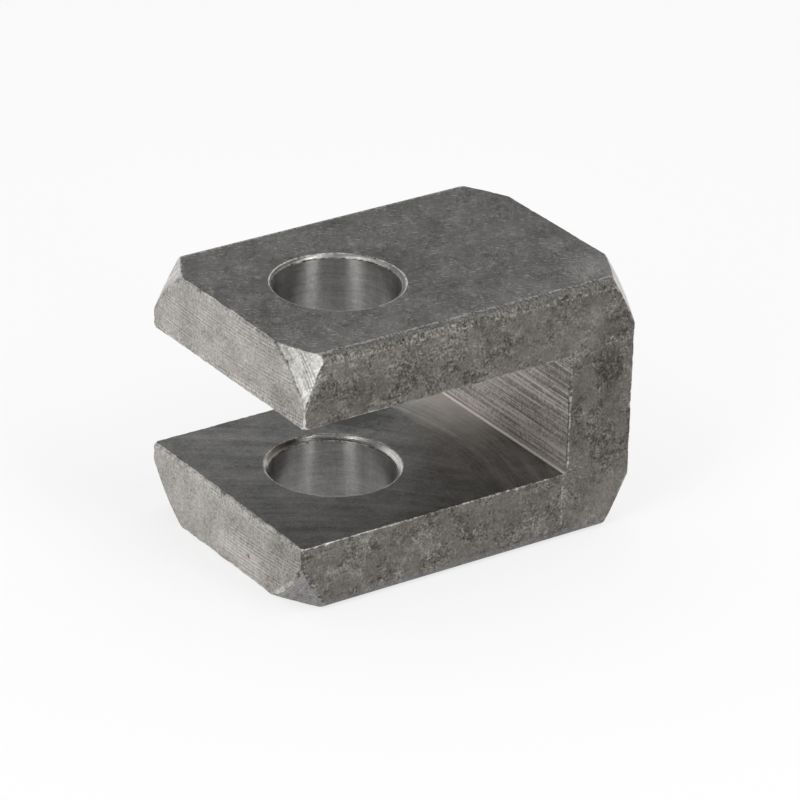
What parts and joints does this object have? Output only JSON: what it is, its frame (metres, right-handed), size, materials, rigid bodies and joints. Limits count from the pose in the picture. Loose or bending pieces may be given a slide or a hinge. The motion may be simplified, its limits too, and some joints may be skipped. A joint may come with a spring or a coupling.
{
  "type": "tension rod clevis",
  "caption": "Forked steel clevis end milled from square bar, with a cross bore for a pin and a plain end for welding to a tension rod.",
  "frame": {"origin": "on the pin bore's axis, halfway between the two ears", "axes": "+X along the rod's axis, from the fork's tips towards the plain end; +Z along the pin bore; +Y across the fork"},
  "size_m": [0.0428, 0.03, 0.03],
  "materials": {
    "steel": "bare drawn bar, tumbled dull grey, with milled, turned and bored faces left bright"
  },
  "bodies": {
    "root": {"clevis": "steel"}
  },
  "joints": []
}
